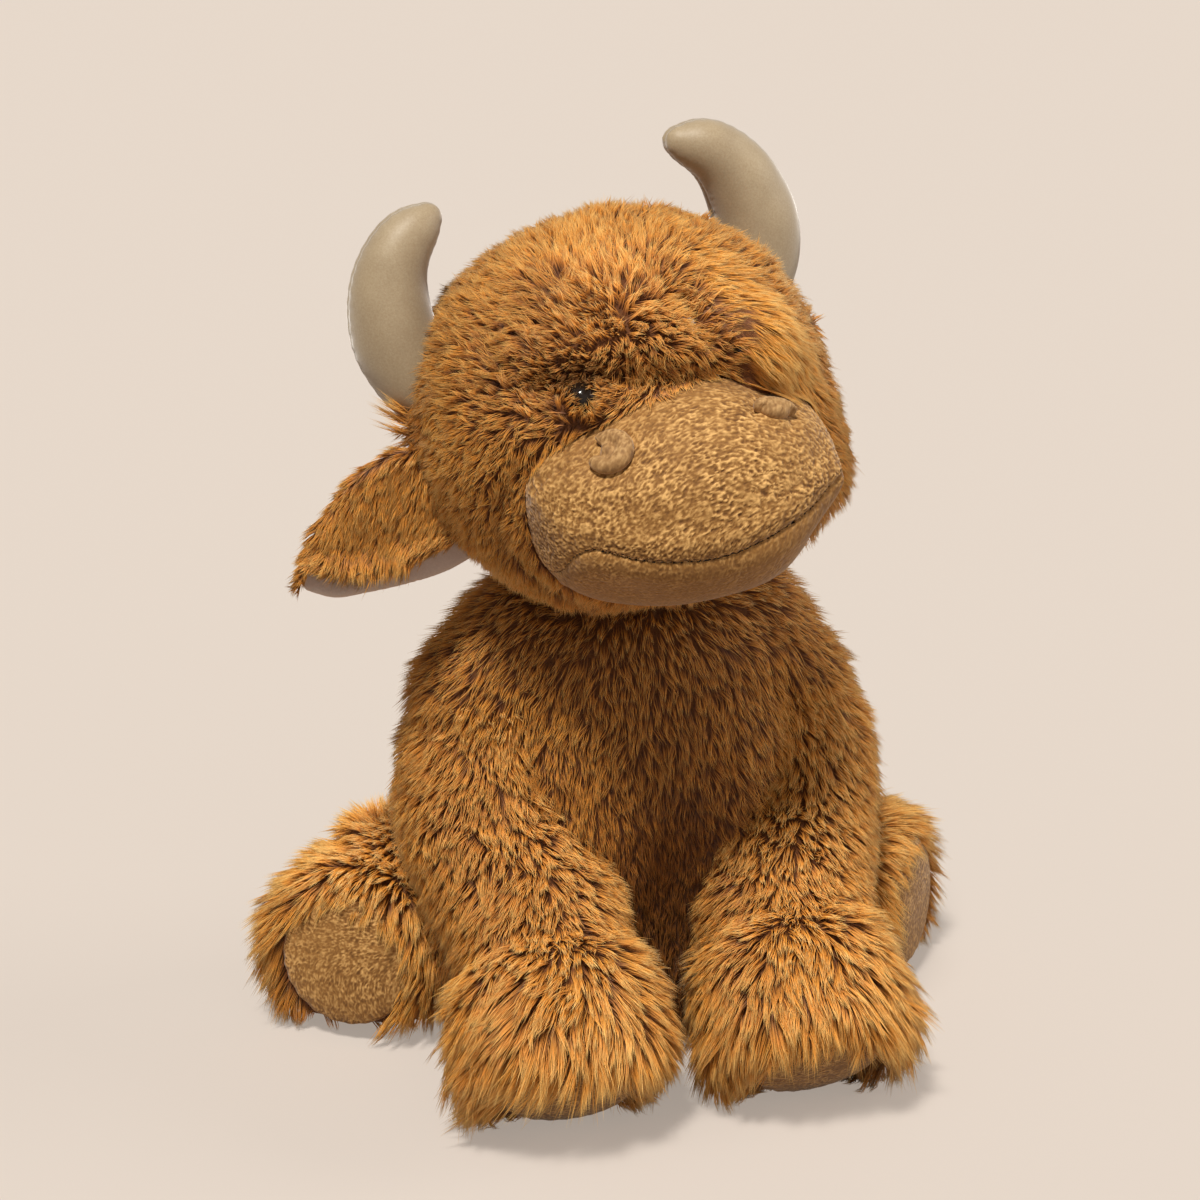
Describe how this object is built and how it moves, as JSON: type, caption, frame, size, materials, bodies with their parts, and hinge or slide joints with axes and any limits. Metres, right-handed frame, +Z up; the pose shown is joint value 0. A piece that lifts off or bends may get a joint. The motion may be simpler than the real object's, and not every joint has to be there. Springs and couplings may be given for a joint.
{
  "type": "plush cow",
  "caption": "Seated stuffed cow with long pile, velour muzzle and soles, soft horns and floppy ears; the head, ears, legs and tail flex on their seams.",
  "frame": {"origin": "middle of the flat seat, on the surface that the cow sits on", "axes": "+Z up, -Y the way the torso faces, +X to the cow's own left"},
  "size_m": [0.2432, 0.2245, 0.3228],
  "materials": {
    "long_pile": "long clumped pile, rust brown with paler tips",
    "short_pile": "short velour nap, tan",
    "ivory_cloth": "smooth satin-faced cloth, ivory",
    "lining_cloth": "smooth velour lining, mauve grey",
    "wadding": "loose polyester fibre",
    "pouch_cloth": "plain woven pouch holding plastic pellets",
    "thread": "twisted brown sewing thread",
    "bead_gloss": "polished black",
    "washer_plastic": "moulded white"
  },
  "bodies": {
    "torso": {"torso_skin": "long_pile", "seat_panel": "long_pile", "torso_stuffing": "wadding", "pellet_pouch": "pouch_cloth"},
    "neck_core": {"neck_stuffing": "wadding"},
    "neck_wrap": {"neck_gather": "long_pile"},
    "head": {"head_skin": "long_pile", "head_stuffing": "wadding", "muzzle_upper": "short_pile", "muzzle_lip": "short_pile", "muzzle_stuffing": "wadding", "mouth_thread": "thread", "nostril_left": "short_pile", "nostril_right": "short_pile", "eye_left": "bead_gloss", "eye_right": "bead_gloss", "eye_washer_left": "washer_plastic", "eye_washer_right": "washer_plastic", "horn_left_skin": "ivory_cloth", "horn_left_stuffing": "wadding", "horn_right_skin": "ivory_cloth", "horn_right_stuffing": "wadding"},
    "ear_left": {"ear_left_outer": "long_pile", "ear_left_lining": "lining_cloth"},
    "ear_right": {"ear_right_outer": "long_pile", "ear_right_lining": "lining_cloth"},
    "tail": {"tail": "long_pile", "tail_tuft": "long_pile"},
    "front_leg_left": {"front_leg_left_skin": "long_pile", "front_leg_left_stuffing": "wadding", "front_leg_left_sole": "short_pile"},
    "hind_leg_left": {"hind_leg_left_skin": "long_pile", "hind_leg_left_stuffing": "wadding", "hind_leg_left_sole": "short_pile"},
    "front_leg_right": {"front_leg_right_skin": "long_pile", "front_leg_right_stuffing": "wadding", "front_leg_right_sole": "short_pile"},
    "hind_leg_right": {"hind_leg_right_skin": "long_pile", "hind_leg_right_stuffing": "wadding", "hind_leg_right_sole": "short_pile"}
  },
  "joints": [
    {"name": "head_turn", "type": "hinge", "parent": "torso", "child": "neck_core", "pos_m": [-0.00511, -0.01596, 0.16804], "axis": [0, 0, 1], "range_deg": [-25, 25], "stiffness_Nm_per_rad": 2},
    {"name": "head_nod", "type": "hinge", "parent": "neck_core", "child": "neck_wrap", "pos_m": [-0.00511, -0.01596, 0.16804], "axis": [1, 0, 0], "range_deg": [-10, 15], "stiffness_Nm_per_rad": 2.5},
    {"name": "head_tilt", "type": "hinge", "parent": "neck_wrap", "child": "head", "pos_m": [-0.00511, -0.01596, 0.16804], "axis": [0, 1, 0], "range_deg": [-12, 12], "stiffness_Nm_per_rad": 2.5},
    {"name": "ear_left_flap", "type": "hinge", "parent": "head", "child": "ear_left", "pos_m": [0.05481, -0.01995, 0.23747], "axis": [0.0164, 0.1406, 0.9899], "range_deg": [-70, 5], "stiffness_Nm_per_rad": 0.05},
    {"name": "ear_right_flap", "type": "hinge", "parent": "head", "child": "ear_right", "pos_m": [-0.07021, -0.03258, 0.2099], "axis": [0.4538, -0.0931, -0.8862], "range_deg": [-30, 40], "stiffness_Nm_per_rad": 0.05},
    {"name": "front_leg_left_lift", "type": "hinge", "parent": "torso", "child": "front_leg_left", "pos_m": [0.04818, -0.01026, 0.12642], "axis": [-1, 0, 0], "range_deg": [0, 40], "stiffness_Nm_per_rad": 0.6},
    {"name": "front_leg_right_lift", "type": "hinge", "parent": "torso", "child": "front_leg_right", "pos_m": [-0.04818, -0.01026, 0.12642], "axis": [-1, 0, 0], "range_deg": [0, 40], "stiffness_Nm_per_rad": 0.6},
    {"name": "hind_leg_left_lift", "type": "hinge", "parent": "torso", "child": "hind_leg_left", "pos_m": [0.04818, 0.02394, 0.03612], "axis": [-0.4119, -0.9112, 0], "range_deg": [0, 28], "stiffness_Nm_per_rad": 0.6},
    {"name": "hind_leg_right_lift", "type": "hinge", "parent": "torso", "child": "hind_leg_right", "pos_m": [-0.04818, 0.02394, 0.03612], "axis": [-0.4193, 0.9078, 0], "range_deg": [0, 28], "stiffness_Nm_per_rad": 0.6},
    {"name": "tail_sway", "type": "hinge", "parent": "torso", "child": "tail", "pos_m": [0, 0.05529, 0.0516], "axis": [0, 0, 1], "range_deg": [-25, 25], "stiffness_Nm_per_rad": 0.05}
  ]
}
